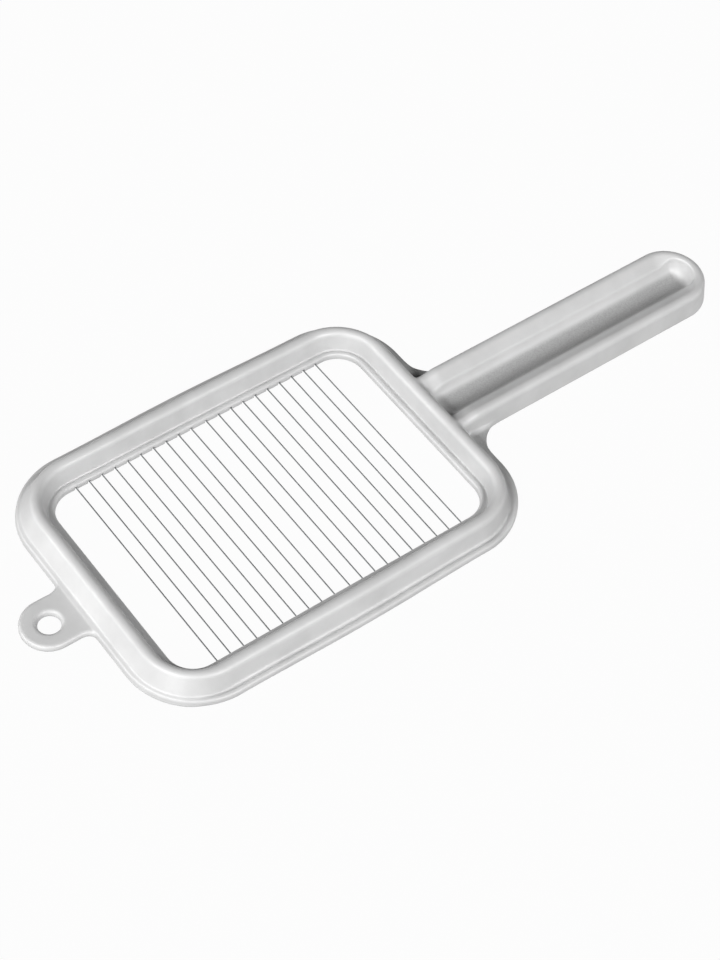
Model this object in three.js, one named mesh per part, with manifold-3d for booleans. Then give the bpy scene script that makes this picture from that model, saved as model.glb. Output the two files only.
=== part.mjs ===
// Wire potato slicer: a cast aluminium frame with a trough handle and a hanging ear,
// strung with taut steel cutting wires. Millimetres, +Z up, +X towards the handle's tip.

import * as THREE from 'three';
import { mergeVertices } from 'three/addons/utils/BufferGeometryUtils.js';
import Module from 'manifold-3d';

// Cutting window, measured between the inner edges of the frame
const windowLength = 120.6;
const windowWidth = 81.9;
const windowCorner = 9.5;

// Section of the rail that runs round the window
const railWidth = 13.6;
const outerCorner = 25.5;   // plan corners of the rail's outer edge
const sideBow = 0.7;        // extra width of the long rails at mid length
const ridgeInset = 6.45;    // from the window's edge to the middle of the ridge
const ridgeHeight = 9;
const ridgeRadius = 2.5;
const lipThickness = 2.6;
const lipRadius = 1.05;     // rounding along the top of both lips
const lipWidth = 2.1;       // from the lip's edge to the bottom of its groove
const grooveDepth = 0.7;    // below the top of the lip
const flankFoot = 0.9;      // from the groove to the foot of the steep wall
const edgeRadius = 0.5;     // rounding along the bottom edges
const wallThickness = 1.8;  // metal left over the hollow underside

// Wires
const wireCount = 20;
const wireGroups = 2;
const wirePitch = 5;
const groupGap = 6;         // between the two groups, at the middle of the window
const wireDiameter = 0.5;
const headDiameter = 1.3;   // upset end that holds the wire behind the rail's inner foot
const headLength = 1.4;
const headLift = 0.2;       // keeps the upset ends clear of the table
const seatGap = 0.3;        // between an upset end and the wall that it bears on
const notchGap = 0.2;       // between a wire and its notch, all round

// Handle
const handleWidth = 28;     // over the bottom edges
const handleReach = 112;    // from the rail's outer edge to the tip
const handleHeight = 9.1;
const rimRadius = 2.8;
const rimInset = 0.7;       // lean of the outer wall, from the bottom to the rim
const troughWall = 1.5;     // how far the trough's wall leans in on its way down
const troughWallDepth = 3.1;
const troughFloor = 2;      // metal under the middle of the trough
const troughEndLean = 3.2;  // slope of the wall at the tip, from rim to floor
const troughCorner = 4;     // plan corners of the trough's floor
const rootFillet = 4;       // where the trough's floor meets the rail
const webRadius = 14;       // hollow plan corners between rail and handle
const webThickness = 2.4;

// Hanging ear
const earRadius = 9.7;
const earFillet = 4.5;
const earThickness = 3;
const earRounding = 1;
const earHole = 8.4;

// Smoothness
const cornerSteps = 8;
const bowSteps = 8;
const wireSides = 8;

const halfLength = windowLength / 2;
const halfWidth = windowWidth / 2;
const ridgeCentre = ridgeHeight - ridgeRadius;
const railEnd = halfLength + railWidth;
const tipEnd = railEnd + handleReach;
const earEnd = railEnd + 2 * earRadius;
const footOffset = lipWidth + flankFoot;
const footHeight = lipThickness - grooveDepth + flankFoot;
const channelInset = footOffset + wallThickness;
const wireHeight = headLift + headDiameter / 2;

const wasm = await Module();
wasm.setup();

function toSolid(geometry) {
  const plain = new THREE.BufferGeometry();
  plain.setAttribute('position', geometry.getAttribute('position').clone());
  plain.setIndex(geometry.index);
  const welded = mergeVertices(plain, 1e-4);
  return new wasm.Manifold(new wasm.Mesh({
    numProp: 3,
    vertProperties: new Float32Array(welded.getAttribute('position').array),
    triVerts: new Uint32Array(welded.index.array),
  }));
}

function toGeometry(solid) {
  const mesh = solid.getMesh();
  const geometry = new THREE.BufferGeometry();
  geometry.setAttribute('position', new THREE.BufferAttribute(mesh.vertProperties, 3));
  geometry.setIndex(new THREE.BufferAttribute(mesh.triVerts, 1));
  geometry.computeVertexNormals();
  return geometry;
}

// Skin over a row of rings that all have the same number of points.
// An endless row joins its last ring to its first, any other row is capped at both ends.
function loft(rings, endless) {
  const count = rings[0].length;
  const position = new THREE.Float32BufferAttribute(rings.flat().flatMap((p) => p.toArray()), 3);
  const index = [];
  const spans = endless ? rings.length : rings.length - 1;
  for (let i = 0; i < spans; i += 1) {
    const here = i * count;
    const next = ((i + 1) % rings.length) * count;
    for (let j = 0; j < count; j += 1) {
      const k = (j + 1) % count;
      index.push(here + j, here + k, next + k);
      index.push(here + j, next + k, next + j);
    }
  }
  if (!endless) {
    const last = (rings.length - 1) * count;
    const flat = (ring) => ring.map((p) => new THREE.Vector2(p.x, p.y));
    for (const [a, b, c] of THREE.ShapeUtils.triangulateShape(flat(rings[0]), [])) {
      index.push(c, b, a);
    }
    for (const [a, b, c] of THREE.ShapeUtils.triangulateShape(flat(rings.at(-1)), [])) {
      index.push(last + a, last + b, last + c);
    }
  }
  const geometry = new THREE.BufferGeometry();
  geometry.setAttribute('position', position);
  geometry.setIndex(index);
  return geometry;
}

// How far the long rails' outer edge bows out at place x
function bowAt(x) {
  const straight = halfLength + railWidth - outerCorner;
  return Math.abs(x) < straight ? sideBow * (1 + Math.cos(Math.PI * x / straight)) / 2 : 0;
}

// Stations round the window: a point on its edge, and the point on the rail's outer edge abreast of it
function railStations() {
  const stations = [];
  const corners = [[1, -1], [1, 1], [-1, 1], [-1, -1]];
  const arcPoint = (length, width, radius, [sideX, sideY], angle) => new THREE.Vector2(
    sideX * (length - radius) + radius * Math.cos(angle),
    sideY * (width - radius) + radius * Math.sin(angle),
  );
  corners.forEach((corner, turn) => {
    for (let i = 0; i <= cornerSteps; i += 1) {
      const angle = (turn - 1 + i / cornerSteps) * Math.PI / 2;
      stations.push({
        inner: arcPoint(halfLength, halfWidth, windowCorner, corner, angle),
        outer: arcPoint(railEnd, halfWidth + railWidth, outerCorner, corner, angle),
      });
    }
    if (turn % 2 === 1) {
      const [sideX, sideY] = corner;
      for (let i = 1; i < bowSteps; i += 1) {
        const along = sideX * (1 - 2 * i / bowSteps);
        const outerX = along * (railEnd - outerCorner);
        stations.push({
          inner: new THREE.Vector2(along * (halfLength - windowCorner), sideY * halfWidth),
          outer: new THREE.Vector2(outerX, sideY * (halfWidth + railWidth + bowAt(outerX))),
        });
      }
    }
  });
  return stations;
}

// Sweeps a section round the window. Its x runs outwards from the window's edge, its y is height.
function sweepRail(section) {
  const rings = railStations().map(({ inner, outer }) => section.map((p) => {
    const foot = inner.clone().lerp(outer, p.x / railWidth);
    return new THREE.Vector3(foot.x, foot.y, p.y);
  }));
  return toSolid(loft(rings, true));
}

// One side of an inverted hat, from its bottom edge to the middle of the ridge:
// a rounded lip, a groove, a steep wall and half of the ridge's rounding
function hatSide(run) {
  const side = new THREE.Path();
  const grooveFloor = lipThickness - grooveDepth;
  const wallRun = run - footOffset;
  const wallRise = ridgeCentre - footHeight;
  const wallTouch = Math.acos(ridgeRadius / Math.hypot(wallRun, wallRise)) - Math.atan2(wallRise, wallRun);
  side.moveTo(edgeRadius, 0);
  side.quadraticCurveTo(0, 0, 0, edgeRadius);
  side.lineTo(0, lipThickness - lipRadius);
  side.absarc(lipRadius, lipThickness - lipRadius, lipRadius, Math.PI, Math.PI / 3, true);
  side.quadraticCurveTo(lipWidth, grooveFloor - grooveDepth / 2, footOffset, footHeight);
  side.absarc(run, ridgeCentre, ridgeRadius, Math.PI - wallTouch, Math.PI / 2, true);
  return side.getPoints(3);
}

// One side of the hollow underside, which stays a wall's thickness inside the hat
function channelSide(run) {
  const side = new THREE.Path();
  const roofRadius = Math.max(ridgeRadius - wallThickness, edgeRadius);
  side.moveTo(channelInset, -lipThickness);
  side.lineTo(channelInset, footHeight);
  side.absarc(run, ridgeHeight - wallThickness - roofRadius, roofRadius, Math.PI, Math.PI / 2, true);
  return side.getPoints(2);
}

// Whole section of the rail, from its inner side and its outer side
function railSection(makeSide) {
  const inner = makeSide(ridgeInset);
  const outer = makeSide(railWidth - ridgeInset).slice(0, -1).reverse();
  return [...inner, ...outer.map((p) => new THREE.Vector2(railWidth - p.x, p.y))];
}

// One level of the handle: a long outline with two rounded corners at each end
function handleRing({ half, height, tip, tipCorner, root, rootCorner }) {
  const ring = [];
  const corners = [
    [tip - tipCorner, half - tipCorner, tipCorner, 0],
    [root + rootCorner, half - rootCorner, rootCorner, 1],
    [root + rootCorner, rootCorner - half, rootCorner, 2],
    [tip - tipCorner, tipCorner - half, tipCorner, 3],
  ];
  for (const [x, y, radius, quarter] of corners) {
    for (let i = 0; i <= cornerSteps; i += 1) {
      const angle = (quarter + i / cornerSteps) * Math.PI / 2;
      ring.push(new THREE.Vector3(x + radius * Math.cos(angle), y + radius * Math.sin(angle), height));
    }
  }
  return ring;
}

// Trough handle: up the outer wall, over the rim and down inside to the middle of the floor
function makeHandle() {
  const rings = [];
  const tipCentre = tipEnd - handleWidth / 2;
  const rootBuried = halfLength + ridgeInset;
  const rootCorner = edgeRadius;
  const crestHalf = handleWidth / 2 - rimInset - rimRadius;
  const rimCentre = handleHeight - rimRadius;
  const outside = (half, height) => rings.push(handleRing({
    half, height, tip: tipCentre + half, tipCorner: half, root: rootBuried, rootCorner,
  }));
  outside(handleWidth / 2 - edgeRadius, 0);
  outside(handleWidth / 2, edgeRadius);
  for (const turn of [0, 1 / 4, 1 / 2, 3 / 4, 1]) {
    const angle = turn * Math.PI / 2;
    outside(crestHalf + rimRadius * Math.cos(angle), rimCentre + rimRadius * Math.sin(angle));
  }

  const floorEnd = railEnd + rootFillet / 2;
  const wallTop = crestHalf - rimRadius * Math.sin(Math.PI / 3);
  const wallTopHeight = rimCentre + rimRadius * Math.cos(Math.PI / 3);
  const wallFoot = wallTop - troughWall;
  const wallFootHeight = wallTopHeight - troughWallDepth;
  const inside = (half, height) => {
    const sunk = (handleHeight - height) / (handleHeight - troughFloor);
    const square = Math.min(1, sunk * 2);
    rings.push(handleRing({
      half,
      height,
      tip: tipCentre + half - sunk * (half + troughEndLean - crestHalf),
      tipCorner: half - square * Math.max(0, half - troughCorner),
      root: rootBuried + (floorEnd - rootBuried) * (1 - Math.cos(sunk * Math.PI / 2)),
      rootCorner: Math.min(half, rootCorner + sunk * rootFillet),
    }));
  };
  for (const angle of [Math.PI / 6, Math.PI / 3]) {
    inside(crestHalf - rimRadius * Math.sin(angle), rimCentre + rimRadius * Math.cos(angle));
  }
  inside(wallTop - troughWall / 2, (wallTopHeight + wallFootHeight) / 2);
  for (const turn of [0, 0.25, 0.5, 0.7, 0.85]) {
    const angle = turn * Math.PI / 2;
    const drop = (wallFootHeight - troughFloor) * Math.sin(angle);
    inside(wallFoot * Math.cos(angle), wallFootHeight - drop);
  }
  return toSolid(loft(rings, false));
}

// Flat webs with hollow corners, on both sides of the handle's root
function makeWebs() {
  const side = handleWidth / 2 - edgeRadius;
  const inner = railEnd - lipWidth;
  const plan = new THREE.Shape();
  plan.moveTo(inner, -side - webRadius);
  plan.lineTo(railEnd - edgeRadius, -side - webRadius);
  plan.absarc(railEnd - edgeRadius + webRadius, -side - webRadius, webRadius, Math.PI, Math.PI / 2, true);
  plan.lineTo(railEnd - edgeRadius + webRadius, side);
  plan.absarc(railEnd - edgeRadius + webRadius, side + webRadius, webRadius, 1.5 * Math.PI, Math.PI, true);
  plan.lineTo(inner, side + webRadius);
  plan.closePath();
  return toSolid(new THREE.ExtrudeGeometry(plan, {
    depth: webThickness, bevelEnabled: false, curveSegments: cornerSteps,
  }));
}

// Ear with a rounded upper edge and a round hole to hang the slicer by
function makeEar() {
  const centre = -railEnd - earRadius;
  const root = -railEnd + lipWidth;
  const fillet = earFillet + earRounding;
  const side = earRadius - earRounding;
  const plan = new THREE.Shape();
  plan.moveTo(root, side + fillet);
  plan.lineTo(-railEnd + earRounding, side + fillet);
  plan.absarc(-railEnd + earRounding - fillet, side + fillet, fillet, 0, -Math.PI / 2, true);
  plan.absarc(centre, 0, side, Math.PI / 2, 1.5 * Math.PI, false);
  plan.absarc(-railEnd + earRounding - fillet, -side - fillet, fillet, Math.PI / 2, 0, true);
  plan.lineTo(root, -side - fillet);
  plan.closePath();
  const hole = new THREE.Path();
  hole.absarc(centre, 0, earHole / 2 + earRounding, 0, 2 * Math.PI, true);
  plan.holes.push(hole);
  const plate = new THREE.ExtrudeGeometry(plan, {
    depth: earThickness,
    bevelThickness: earRounding,
    bevelSize: earRounding,
    bevelSegments: 3,
    curveSegments: cornerSteps,
  });
  plate.translate(0, 0, -earRounding);
  const below = new THREE.BoxGeometry(6 * earRadius, 6 * earRadius, 4 * earRounding);
  below.translate(centre, 0, -2 * earRounding);
  return toSolid(plate).subtract(toSolid(below));
}

// Middle of each wire, along the window's length
function wirePlaces() {
  const perGroup = wireCount / wireGroups;
  const groupSpan = (perGroup - 1) * wirePitch;
  const total = wireGroups * groupSpan + (wireGroups - 1) * groupGap;
  const places = [];
  for (let group = 0; group < wireGroups; group += 1) {
    for (let i = 0; i < perGroup; i += 1) {
      places.push(group * (groupSpan + groupGap) + i * wirePitch - total / 2);
    }
  }
  return places;
}

// How far out from the window's edge a feature of the long rails' section lies, at place x
function bowedOffset(offset, x) {
  return offset * (1 + bowAt(x) / railWidth);
}

// Slot across the window that leaves a notch for one wire in the foot of both long rails
function makeNotch(x) {
  const width = wireDiameter + 2 * notchGap;
  const top = wireHeight + wireDiameter / 2 + notchGap;
  const reach = 2 * (halfWidth + bowedOffset(ridgeInset, x));
  const slot = new THREE.BoxGeometry(width, reach, top + lipThickness);
  slot.translate(x, 0, (top - lipThickness) / 2);
  return toSolid(slot);
}

function makeFrame() {
  let casting = sweepRail(railSection(hatSide));
  for (const addition of [makeHandle(), makeWebs(), makeEar()]) {
    casting = casting.add(addition);
  }
  casting = casting.subtract(sweepRail(railSection(channelSide)));
  for (const x of wirePlaces()) {
    casting = casting.subtract(makeNotch(x));
  }
  return toGeometry(casting);
}

// Straight wire with an upset end behind each long rail's inner foot
function makeWire(x) {
  const seat = halfWidth + bowedOffset(channelInset, x) + seatGap;
  const end = seat + headLength;
  const wire = wireDiameter / 2;
  const head = headDiameter / 2;
  const profile = [
    [0, -end], [head, -end], [head, -seat], [wire, -seat],
    [wire, seat], [head, seat], [head, end], [0, end],
  ];
  return new THREE.LatheGeometry(profile.map(([r, y]) => new THREE.Vector2(r, y)), wireSides);
}

const slicer = new THREE.Group();
slicer.position.x = (earEnd - tipEnd) / 2;

const aluminium = { color: 0xc4c5c6, roughness: 0.38, metalness: 1 };
const frame = new THREE.Mesh(makeFrame(), new THREE.MeshStandardMaterial(aluminium));
frame.name = 'cast_frame';
slicer.add(frame);

const steel = { color: 0x9c9ea0, roughness: 0.3, metalness: 1 };
wirePlaces().forEach((x, i) => {
  const wire = new THREE.Mesh(makeWire(x), new THREE.MeshStandardMaterial(steel));
  wire.name = `cutting_wire_${String(i + 1).padStart(2, '0')}`;
  wire.position.set(x, 0, wireHeight);
  slicer.add(wire);
});

export default slicer;
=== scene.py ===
import math

import bpy
import numpy as np
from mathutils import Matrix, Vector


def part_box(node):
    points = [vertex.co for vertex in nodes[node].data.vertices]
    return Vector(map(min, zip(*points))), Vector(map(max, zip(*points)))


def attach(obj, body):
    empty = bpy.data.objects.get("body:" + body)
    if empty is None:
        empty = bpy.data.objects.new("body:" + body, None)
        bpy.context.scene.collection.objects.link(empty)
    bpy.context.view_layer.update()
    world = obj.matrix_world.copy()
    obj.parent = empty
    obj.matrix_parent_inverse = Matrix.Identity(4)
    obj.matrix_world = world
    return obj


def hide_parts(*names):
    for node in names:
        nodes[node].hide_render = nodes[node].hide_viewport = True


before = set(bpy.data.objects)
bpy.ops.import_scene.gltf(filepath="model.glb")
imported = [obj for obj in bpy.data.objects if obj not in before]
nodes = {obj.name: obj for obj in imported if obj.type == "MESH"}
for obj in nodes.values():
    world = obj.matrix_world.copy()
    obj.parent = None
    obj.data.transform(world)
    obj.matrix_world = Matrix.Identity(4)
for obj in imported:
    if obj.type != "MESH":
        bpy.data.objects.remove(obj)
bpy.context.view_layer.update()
mmPerMetre = 1000
wireNames = sorted(name for name in nodes if name.startswith("cutting_wire"))
wireMiddles = [(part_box(name)[0].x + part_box(name)[1].x) / 2 * mmPerMetre for name in wireNames]
windowMiddle = sum(wireMiddles) / len(wireMiddles)  # mm, the shapes below are drawn round it
print("frame loaded:", len(nodes), "solids, window middle at", round(windowMiddle, 2), "mm")


# joins of distances to solids, all in mm and negative inside

def softJoin(a, b, blend):
    near = np.maximum(blend - np.abs(a - b), 0) / blend
    return np.minimum(a, b) - near * near * blend / 4


def filletJoin(a, b, radius):
    fill = np.hypot(np.maximum(radius - a, 0), np.maximum(radius - b, 0))
    return np.maximum(np.minimum(a, b), radius) - fill


def roundEdge(a, b, radius):
    proud = np.hypot(np.maximum(a + radius, 0), np.maximum(b + radius, 0))
    return np.minimum(np.maximum(a, b), -radius) + proud


def roundRect(x, y, halfLength, halfWidth, corner):
    overX = np.abs(x) - (halfLength - corner)
    overY = np.abs(y) - (halfWidth - corner)
    beyond = np.hypot(np.maximum(overX, 0), np.maximum(overY, 0))
    return beyond + np.minimum(np.maximum(overX, overY), 0) - corner


def easeStep(value, start, end):
    t = np.clip((value - start) / (end - start), 0, 1)
    return t * t * (3 - 2 * t)


# a bead of the given radius with two straight flanks that lean away from it
def beadWithFlanks(across, up, radius, leanA, leanB):
    sideA = -np.cos(leanA) * across + np.sin(leanA) * up
    sideB = np.cos(leanB) * across + np.sin(leanB) * up
    aboveA = np.sin(leanA) * across + np.cos(leanA) * up
    aboveB = -np.sin(leanB) * across + np.cos(leanB) * up
    onBead = (aboveA > 0) & (aboveB > 0)
    return np.where(onBead, np.hypot(across, up), np.maximum(sideA, sideB)) - radius


# The rail round the window: a ridge in the middle, a lip and a groove along both edges, and a hollow
# channel below with a notch for every wire. Sizes in mm, leans in radians from upright.
rail = {
    "halfLength": 60.3, "halfWidth": 40.95, "windowCorner": 9.5,
    "width": 13.6, "outerCorner": 25.5, "sideBow": 0.7,
    "ridgeInset": 6.45, "ridgeRadius": 2.5, "ridgeMiddle": 6.5,
    "innerLean": 0.2335, "outerLean": 0.255, "earLean": 0.6, "earLeanOver": (-46.0, -66.0),
    "lipRadius": 1.05, "lipMiddle": 1.55, "webHeight": 1.6, "footBlend": 0.9,
    "channelHalf": 2.0, "channelMiddle": 6.8, "channelRadius": 0.7,
    "channelInnerLean": 0.2457, "channelOuterLean": 0.4054,
    "notchHalf": 0.45, "notchTop": 1.3, "underEdge": 0.5,
}


def railBow(x):
    straight = rail["halfLength"] + rail["width"] - rail["outerCorner"]
    share = np.clip(x / straight, -1, 1)
    return rail["sideBow"] * (1 + np.cos(math.pi * share)) / 2


def outerPlan(x, y):
    length = rail["halfLength"] + rail["width"]
    width = rail["halfWidth"] + rail["width"] + railBow(x)
    return roundRect(x, y, length, width, rail["outerCorner"])


# how far out from the window's edge a point lies, 0 there and the rail's width at the outer edge
def acrossRail(x, y):
    fromWindow = roundRect(x, y, rail["halfLength"], rail["halfWidth"], rail["windowCorner"])
    return rail["width"] * fromWindow / (fromWindow - outerPlan(x, y))


# the outer flank leans further out along the ear's end, and nearly closes the groove there
def railShape(x, across, z):
    toEar = easeStep(x, *rail["earLeanOver"])
    outerLean = rail["outerLean"] + (rail["earLean"] - rail["outerLean"]) * toEar
    ridge = beadWithFlanks(across - rail["ridgeInset"], z - rail["ridgeMiddle"],
                           rail["ridgeRadius"], rail["innerLean"], outerLean)
    fromEdge = np.minimum(across, rail["width"] - across)
    overLip = np.maximum(z - rail["lipMiddle"], 0)
    lips = np.hypot(fromEdge - rail["lipRadius"], overLip) - rail["lipRadius"]
    plate = np.maximum(z - rail["webHeight"], rail["lipRadius"] - fromEdge)
    return softJoin(softJoin(ridge, plate, rail["footBlend"]), lips, rail["footBlend"])


def railHollow(x, y, z, across):
    roof = beadWithFlanks(across - rail["ridgeInset"], z - rail["ridgeMiddle"], rail["channelRadius"],
                          rail["channelInnerLean"], rail["channelOuterLean"])
    channel = np.maximum(roof, np.abs(across - rail["channelMiddle"]) - rail["channelHalf"])
    wires = np.array(wireMiddles) - windowMiddle
    toWire = np.abs(x[..., None] - wires).min(-1)
    reach = np.abs(y) - (rail["halfWidth"] + rail["ridgeInset"])
    notch = np.maximum(np.maximum(toWire - rail["notchHalf"], z - rail["notchTop"]), reach)
    return np.minimum(channel, notch)


# trough handle with a rounded rim and a flat band inside it, and the flat webs at its root, in mm too
handle = {
    "tipMiddle": 171.9, "crestHalf": 10.9, "rimMiddle": 6.88, "rimRadius": 2.2,
    "outerLean": 0.128, "bandLean": 1.03, "bandEdge": 0.5, "floor": 2.0, "floorRadius": 6.3,
    "floorEnd": 176.9, "floorEndSquash": 1.4, "buried": 66.75,
    "rootDip": 0.8, "rootDipOver": (77.0, 71.0),
    "crestBlend": 1.2, "rootBlend": 2.0, "blendOver": (8.0, 4.0),  # wider down in the trough
    "webSide": 13.1, "webInner": 9.0, "webRadius": 14.0, "webTop": 2.4, "webEdge": 0.8,
    "webBlend": 0.9, "webFrom": 71.0, "webFade": (24.0, 30.0), "webDrop": 1.3, "top": 9.08,
}


# how far a point lies from the handle's middle line, and round its tip from the line's end
def fromHandleLine(x, y):
    return np.hypot(np.maximum(x - handle["tipMiddle"], 0), y)


def handleShape(x, y, z):
    dip = easeStep(x, *handle["rootDipOver"])
    up = z - handle["rimMiddle"] + handle["rootDip"] * dip
    out = fromHandleLine(x, y) - handle["crestHalf"]
    rim = beadWithFlanks(out, up, handle["rimRadius"], handle["bandLean"], handle["outerLean"])
    hollowMiddle = handle["floor"] + handle["floorRadius"]
    pastFloor = np.maximum(x - handle["floorEnd"], 0) * handle["floorEndSquash"]
    fromFloor = np.hypot(pastFloor, y)
    hollow = handle["floorRadius"] - np.hypot(fromFloor, z - hollowMiddle)
    trough = roundEdge(rim, hollow, handle["bandEdge"])
    return np.maximum(trough, handle["buried"] - x)


def webShape(x, y, z):
    beside = fromHandleLine(x, y) - handle["webSide"]
    plan = filletJoin(outerPlan(x, y) + handle["webBlend"], beside, handle["webRadius"])
    top = handle["webTop"] - handle["webDrop"] * easeStep(np.abs(y), *handle["webFade"])
    plate = roundEdge(plan, z - top, handle["webEdge"])
    kept = np.maximum(handle["webFrom"] - x, handle["webInner"] - np.abs(y))  # not in the trough
    return np.maximum(plate, kept)


# hanging ear, a flat tongue with an eye, in mm
ear = {
    "middle": -83.6, "radius": 9.7, "fillet": 4.5, "top": 2.3, "edge": 1.3,
    "holeRadius": 3.65, "holeDraft": 0.2, "holeEdge": 1.2, "buried": -72.9, "blend": 0.6,
}


def earShape(x, y, z):
    away = x - ear["middle"]
    tongue = np.hypot(np.minimum(away, 0), y) - ear["radius"]
    plan = filletJoin(outerPlan(x, y) + ear["blend"], tongue, ear["fillet"])
    hole = ear["holeRadius"] + ear["holeDraft"] * z - np.hypot(away, y)
    plate = roundEdge(plan, z - ear["top"], ear["edge"])
    drilled = np.maximum(plate, roundEdge(hole, z - ear["top"], ear["holeEdge"]))
    return np.maximum(drilled, x - ear["buried"])


# the whole casting: its forms blended, the rail's hollow taken out and the underside's edges rounded
def castingShape(x, y, z):
    across = acrossRail(x, y)
    down = easeStep(z, *handle["blendOver"])
    blend = handle["crestBlend"] + (handle["rootBlend"] - handle["crestBlend"]) * down
    shape = softJoin(railShape(x, across, z), handleShape(x, y, z), blend)
    shape = softJoin(shape, webShape(x, y, z), handle["webBlend"])
    shape = softJoin(shape, earShape(x, y, z), ear["blend"])
    shape = np.maximum(shape, -railHollow(x, y, z, across))
    shape = np.maximum(shape, z - handle["top"])
    return roundEdge(shape, -z, rail["underEdge"])


# how the casting's skin is meshed, in mm
castingMesh = {
    "step": 0.36, "quickStep": 0.7, "margin": 2.3, "spare": 3, "slabs": 40,  # margin and spare in steps
    "drawTurns": 3, "evenTurns": 2, "redrawTurns": 2, "slopeReach": 0.04, "leastSlope": 0.2,
}


# one point in every grid cell that the skin crosses, and a quad round every grid edge that it crosses
def skinOver(shape, start, step):
    inside = shape < 0
    size = np.array(shape.shape) - 1
    count = np.zeros(size, np.int8)
    corners = [(i, j, k) for i in (0, 1) for j in (0, 1) for k in (0, 1)]
    for i, j, k in corners:
        count += inside[i:i + size[0], j:j + size[1], k:k + size[2]]
    cells = np.argwhere((count > 0) & (count < 8))
    number = np.full(size, -1, np.int32)
    number[tuple(cells.T)] = np.arange(len(cells))
    values = np.stack([shape[tuple((cells + c).T)] for c in corners], 1)
    total = np.zeros((len(cells), 3))
    crossings = np.zeros((len(cells), 1))
    for a in range(8):
        for b in range(a + 1, 8):
            if sum(p != q for p, q in zip(corners[a], corners[b])) != 1:
                continue
            crosses = (values[:, a] < 0) != (values[:, b] < 0)
            gap = np.where(crosses, values[:, a] - values[:, b], 1)
            share = (values[:, a] / gap)[:, None]
            place = np.array(corners[a]) * (1 - share) + np.array(corners[b]) * share
            total += np.where(crosses[:, None], place, 0)
            crossings += crosses[:, None]
    points = start + (cells + total / crossings) * step
    quads = []
    for axis in range(3):
        u, v = (axis + 1) % 3, (axis + 2) % 3
        low = [slice(1, -1)] * 3
        low[axis] = slice(0, -1)
        high = list(low)
        high[axis] = slice(1, None)
        here, there = inside[tuple(low)], inside[tuple(high)]
        edges = np.argwhere(here != there)
        leaves = here[tuple(edges.T)]
        edges[:, u] += 1
        edges[:, v] += 1
        ring = []
        for du, dv in ((1, 1), (0, 1), (0, 0), (1, 0)):
            cell = edges.copy()
            cell[:, u] -= du
            cell[:, v] -= dv
            ring.append(number[tuple(cell.T)])
        ring = np.stack(ring, 1)
        quads.append(np.where(leaves[:, None], ring, ring[:, ::-1]))
    return points, np.concatenate(quads)


def slopeAt(points):
    reach = castingMesh["slopeReach"]
    slope = np.zeros_like(points)
    for axis in range(3):
        ahead, behind = points.copy(), points.copy()
        ahead[:, axis] += reach
        behind[:, axis] -= reach
        slope[:, axis] = castingShape(*ahead.T) - castingShape(*behind.T)
    return slope / (2 * reach)


# draws the points onto the true skin
def drawnOn(points, step, turns):
    for turn in range(turns):
        slope = slopeAt(points)
        length = np.maximum((slope * slope).sum(1), castingMesh["leastSlope"])
        move = castingShape(*points.T) / length
        points = points - np.clip(move, -step / 2, step / 2)[:, None] * slope
    return points


# spaces the points more evenly, each halfway to the middle of its neighbours
def evened(points, quads):
    total = np.zeros_like(points)
    count = np.zeros(len(points))
    for side in range(4):
        near, far = quads[:, side], quads[:, (side + 1) % 4]
        for axis in range(3):
            total[:, axis] += np.bincount(near, points[far, axis], len(points))
            total[:, axis] += np.bincount(far, points[near, axis], len(points))
        count += np.bincount(near, minlength=len(points)) + np.bincount(far, minlength=len(points))
    return (points + total / count[:, None]) / 2


# where shade is painted, on the trough's floor and on the webs, which also get a rougher skin: each pair
# in mm, from none to full
paintedShadeAndRoughSkin = {
    "troughSide": (7.0, 4.5), "troughEnd": (180.0, 177.0), "webSide": (14.6, 16.0),
    "rootFrom": (71.0, 74.0), "below": (4.2, 2.6), "above": (0.2, 1.0),  # not on the underside
}


# share of painted shade, and of rougher skin, at each point on the trough's floor and the webs
def paintedShadeAndRoughShare(x, y, z):
    s = paintedShadeAndRoughSkin
    inTrough = easeStep(np.abs(y), *s["troughSide"]) * easeStep(x, *s["troughEnd"])
    onWebs = easeStep(np.abs(y), *s["webSide"])
    lowDown = easeStep(z, *s["below"]) * easeStep(z, *s["above"])
    return np.maximum(inTrough, onWebs) * lowDown * easeStep(x, *s["rootFrom"])


def makeCasting():
    s = castingMesh
    step = s["step"]
    shift = np.array([windowMiddle, 0, 0])
    low, high = (np.array(corner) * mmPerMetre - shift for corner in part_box("cast_frame"))
    start = low - s["margin"] * step
    size = np.ceil((high - start) / step).astype(int) + s["spare"]
    axes = [start[i] + step * np.arange(size[i]) for i in range(3)]
    x, y, z = axes[0][:, None, None], axes[1][None, :, None], axes[2][None, None, :]
    slabs = [castingShape(part, y, z).astype(np.float32) for part in np.array_split(x, s["slabs"])]
    points, quads = skinOver(np.concatenate(slabs), start, step)
    points = drawnOn(points, step, s["drawTurns"])
    for turn in range(s["evenTurns"]):
        points = drawnOn(evened(points, quads), step, s["redrawTurns"])
    points = np.clip(points, low, high)
    mesh = bpy.data.meshes.new("castFrame")
    mesh.from_pydata((points + shift) / mmPerMetre, [], quads)
    mesh.shade_smooth()
    # the hollow attribute carries where shade is painted into the colour, and where the skin is rougher
    hollow = mesh.attributes.new("hollow", "FLOAT", "POINT")
    hollow.data.foreach_set("value", paintedShadeAndRoughShare(*points.T))
    casting = bpy.data.objects.new("castFrame", mesh)
    bpy.context.scene.collection.objects.link(casting)
    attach(casting, "root")
    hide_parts("cast_frame")
    print("casting:", len(points), "points,", len(quads), "faces")
    return casting


# materials, with sRGB hex colours

def hexColour(text):
    levels = [int(text[i:i + 2], 16) / 255 for i in (0, 2, 4)]
    linear = [v / 12.92 if v <= 0.04045 else ((v + 0.055) / 1.055) ** 2.4 for v in levels]
    return (*linear, 1)


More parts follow.
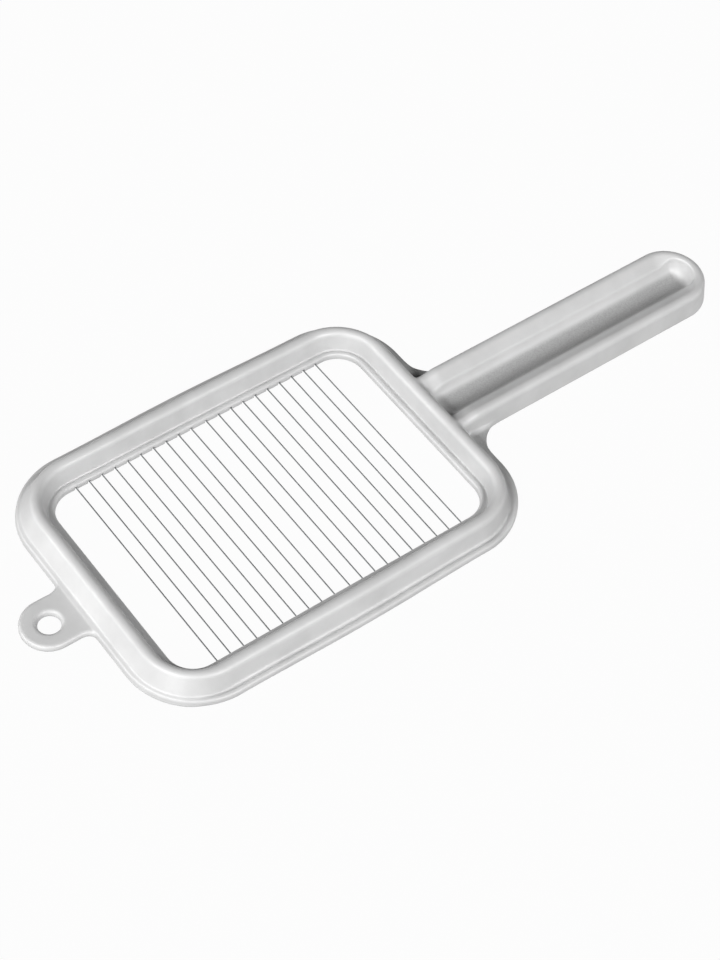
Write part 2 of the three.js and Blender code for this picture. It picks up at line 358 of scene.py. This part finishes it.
# adds one node: settings are its properties, inputs are values or output sockets,
# and a colour mix takes its two colours at inputs 6 and 7
def addNode(tree, kind, settings=None, inputs=None):
    node = tree.nodes.new(kind)
    for name, value in (settings or {}).items():
        setattr(node, name, value)
    for name, value in (inputs or {}).items():
        if isinstance(value, bpy.types.NodeSocket):
            tree.links.new(value, node.inputs[name])
        else:
            node.inputs[name].default_value = value
    return node


def newMaterial(name):
    material = bpy.data.materials.new(name)
    material.use_nodes = True
    material.node_tree.nodes.clear()
    return material, material.node_tree


# Cast aluminium, blasted to an even satin skin that scatters most of the light. Broad soft highlights
# with no mirror image, a little clouding from the mould, and painted shade on the trough's floor and
# webs, darker and broken up by grain, on a rougher skin there.
satinCasting = {
    # hollow is a painted shade colour, laid on the trough's floor and on the webs
    "colour": "cccccc", "clouded": "c3c3c3", "hollow": "9a9a9a", "metallic": 0.15, "specular": 0.15,
    "roughness": 0.43, "roughnessSpread": 0.08, "hollowRoughness": 0.12,
    "cloudSize": 14.0,  # mm
    "cloudDetail": 3.0, "cloudRoughness": 0.55, "cloudRange": (0.38, 0.68),
    "grainSize": 0.55, "grainDepth": 0.012,  # mm, blast marks of 0.2 mm drawn coarser to show
    "grainDetail": 2.0, "grainRoughness": 0.6, "grainRange": (0.25, 0.75), "grainLeast": 0.6,
}


def makeSatinCasting():
    s = satinCasting
    material, tree = newMaterial("castAluminiumBlasted")
    place = addNode(tree, "ShaderNodeTexCoord").outputs["Object"]
    clouds = addNode(tree, "ShaderNodeTexNoise", {}, {
        "Vector": place, "Scale": mmPerMetre / s["cloudSize"],
        "Detail": s["cloudDetail"], "Roughness": s["cloudRoughness"]})
    cloudShare = addNode(tree, "ShaderNodeMapRange", {}, {
        "Value": clouds.outputs["Fac"], "From Min": s["cloudRange"][0], "From Max": s["cloudRange"][1]})
    grain = addNode(tree, "ShaderNodeTexNoise", {}, {
        "Vector": place, "Scale": mmPerMetre / s["grainSize"],
        "Detail": s["grainDetail"], "Roughness": s["grainRoughness"]})
    grainShare = addNode(tree, "ShaderNodeMapRange", {}, {
        "Value": grain.outputs["Fac"], "From Min": s["grainRange"][0], "From Max": s["grainRange"][1],
        "To Min": s["grainLeast"]})
    inHollow = addNode(tree, "ShaderNodeAttribute", {"attribute_name": "hollow"}).outputs["Fac"]
    # how much painted shade the trough's floor and webs get, broken up by grain
    grainyPaintedShade = addNode(tree, "ShaderNodeMath", {"operation": "MULTIPLY"}, {
        0: inHollow, 1: grainShare.outputs["Result"]})
    skin = addNode(tree, "ShaderNodeMix", {"data_type": "RGBA"}, {
        "Factor": cloudShare.outputs["Result"], 6: hexColour(s["colour"]), 7: hexColour(s["clouded"])})
    colour = addNode(tree, "ShaderNodeMix", {"data_type": "RGBA"}, {
        "Factor": grainyPaintedShade.outputs[0], 6: skin.outputs[2], 7: hexColour(s["hollow"])})
    rough = addNode(tree, "ShaderNodeMath", {"operation": "MULTIPLY_ADD"}, {
        0: cloudShare.outputs["Result"], 1: s["roughnessSpread"], 2: s["roughness"]})
    rougher = addNode(tree, "ShaderNodeMath", {"operation": "MULTIPLY_ADD"}, {
        0: inHollow, 1: s["hollowRoughness"], 2: rough.outputs[0]})
    bump = addNode(tree, "ShaderNodeBump", {}, {
        "Height": grain.outputs["Fac"], "Strength": 1.0, "Distance": s["grainDepth"] / mmPerMetre})
    surface = addNode(tree, "ShaderNodeBsdfPrincipled", {}, {
        "Base Color": colour.outputs[2], "Metallic": s["metallic"],
        "Specular IOR Level": s["specular"], "Roughness": rougher.outputs[0],
        "Normal": bump.outputs["Normal"]})
    addNode(tree, "ShaderNodeOutputMaterial", {}, {"Surface": surface.outputs["BSDF"]})
    return material


# Drawn stainless wire. Bright thin highlight along its length, with faint drawing streaks.
drawnWire = {
    "colour": "c2c4c6", "streak": "a4a6a8", "roughness": 0.34, "roughnessSpread": 0.14,
    "streakWidth": 0.12, "streakLength": 9.0,  # mm, drawn coarser than real ones to show
    "streakDetail": 2.0,
}


def makeDrawnWire():
    s = drawnWire
    material, tree = newMaterial("drawnStainlessWire")
    place = addNode(tree, "ShaderNodeTexCoord").outputs["Object"]
    across, along = mmPerMetre / s["streakWidth"], mmPerMetre / s["streakLength"]
    stretched = addNode(tree, "ShaderNodeMapping", {}, {
        "Vector": place, "Scale": (across, along, across)})
    streaks = addNode(tree, "ShaderNodeTexNoise", {}, {
        "Vector": stretched.outputs["Vector"], "Scale": 1.0, "Detail": s["streakDetail"]})
    colour = addNode(tree, "ShaderNodeMix", {"data_type": "RGBA"}, {
        "Factor": streaks.outputs["Fac"], 6: hexColour(s["colour"]), 7: hexColour(s["streak"])})
    rough = addNode(tree, "ShaderNodeMath", {"operation": "MULTIPLY_ADD"}, {
        0: streaks.outputs["Fac"], 1: s["roughnessSpread"], 2: s["roughness"]})
    surface = addNode(tree, "ShaderNodeBsdfPrincipled", {}, {
        "Base Color": colour.outputs[2], "Metallic": 1.0, "Roughness": rough.outputs[0]})
    addNode(tree, "ShaderNodeOutputMaterial", {}, {"Surface": surface.outputs["BSDF"]})
    return material


casting = makeCasting()
casting.data.materials.append(makeSatinCasting())
wireFinish = makeDrawnWire()
for name in wireNames:
    nodes[name].material_slots[0].material = wireFinish
print("materials: blasted casting and", len(wireNames), "drawn wires")


# Matt white paper sweep. Plain white to the eye with a trace of shadow, and grey to bounced light,
# so that it throws little back up at the slicer. Sizes in metres.
paper = {"colour": "7c7c7c", "white": "ffffff", "ownShare": 0.97, "half": 10.0, "drop": 0.0002}


def makePaper():
    half = paper["half"]
    mesh = bpy.data.meshes.new("paperFloor")
    corners = [(-half, -half, 0), (half, -half, 0), (half, half, 0), (-half, half, 0)]
    mesh.from_pydata(corners, [], [(0, 1, 2, 3)])
    floor = bpy.data.objects.new("paperFloor", mesh)
    bpy.context.scene.collection.objects.link(floor)
    floor.location.z = -paper["drop"]
    material, tree = newMaterial("whitePaperSweep")
    path = addNode(tree, "ShaderNodeLightPath").outputs
    seen = addNode(tree, "ShaderNodeMath", {"operation": "MAXIMUM"}, {
        0: path["Is Camera Ray"], 1: path["Is Glossy Ray"]})
    seen = addNode(tree, "ShaderNodeMath", {"operation": "MAXIMUM"}, {
        0: seen.outputs[0], 1: path["Is Transmission Ray"]})
    share = addNode(tree, "ShaderNodeMath", {"operation": "MULTIPLY"}, {
        0: seen.outputs[0], 1: paper["ownShare"]})
    sheet = addNode(tree, "ShaderNodeBsdfDiffuse", {}, {"Color": hexColour(paper["colour"])})
    glow = addNode(tree, "ShaderNodeEmission", {}, {
        "Color": hexColour(paper["white"]), "Strength": 1.0})
    mixed = addNode(tree, "ShaderNodeMixShader", {}, {
        0: share.outputs[0], 1: sheet.outputs[0], 2: glow.outputs[0]})
    addNode(tree, "ShaderNodeOutputMaterial", {}, {"Surface": mixed.outputs[0]})
    mesh.materials.append(material)


makePaper()


# soft boxes, watts and degrees: turn 0 is on the near long side and 270 on the ear's side
softBoxes = {
    "keyFront": {"turn": 0, "height": 40, "power": 37.0},
    "keyFrontLeft": {"turn": 300, "height": 40, "power": 20.0},
    "keyLeft": {"turn": 270, "height": 40, "power": 27.0},
    "lowFrontLeft": {"turn": 300, "height": 15, "power": 11.0},
    "lowLeft": {"turn": 240, "height": 15, "power": 16.0},
    "rimBackLeft": {"turn": 210, "height": 15, "power": 8.0},
    "fillRight": {"turn": 60, "height": 15, "power": 9.0},
}
studio = {"lampDistance": 2.5, "lampSize": 0.9, "room": "f2f2f2", "roomStrength": 0.03}  # in metres


def makeLight():
    for name, s in softBoxes.items():
        lamp = bpy.data.lights.new(name, "AREA")
        lamp.shape = "DISK"
        lamp.size = studio["lampSize"]
        lamp.energy = s["power"]
        box = bpy.data.objects.new(name, lamp)
        bpy.context.scene.collection.objects.link(box)
        turn, height = math.radians(s["turn"]), math.radians(s["height"])
        flat, up = studio["lampDistance"] * math.cos(height), studio["lampDistance"] * math.sin(height)
        box.location = (flat * math.sin(turn), -flat * math.cos(turn), up)
        box.rotation_euler = box.location.to_track_quat("Z", "Y").to_euler()
    world = bpy.data.worlds.new("studioRoom")
    bpy.context.scene.world = world
    world.use_nodes = True
    world.node_tree.nodes.clear()
    glow = addNode(world.node_tree, "ShaderNodeBackground", {}, {
        "Color": hexColour(studio["room"]), "Strength": studio["roomStrength"]})
    addNode(world.node_tree, "ShaderNodeOutputWorld", {}, {"Surface": glow.outputs[0]})


makeLight()
print("stage: paper floor,", len(softBoxes), "soft boxes")


# camera matched to the photo's viewing angle, in metres and degrees, its lens and sensor in mm
view = {
    "place": (-0.32030, -0.36695, 0.60064), "turn": (38.034, -3.128, -36.359),
    "lens": 86.694, "sensor": 36.0,
}
cameraData = bpy.data.cameras.new("camera")
cameraData.sensor_width = view["sensor"]
cameraData.lens = view["lens"]
camera = bpy.data.objects.new("camera", cameraData)
bpy.context.scene.collection.objects.link(camera)
camera.location = view["place"]
camera.rotation_euler = [math.radians(angle) for angle in view["turn"]]
bpy.context.scene.camera = camera
bpy.context.scene.view_settings.view_transform = "Standard"
print("camera set")
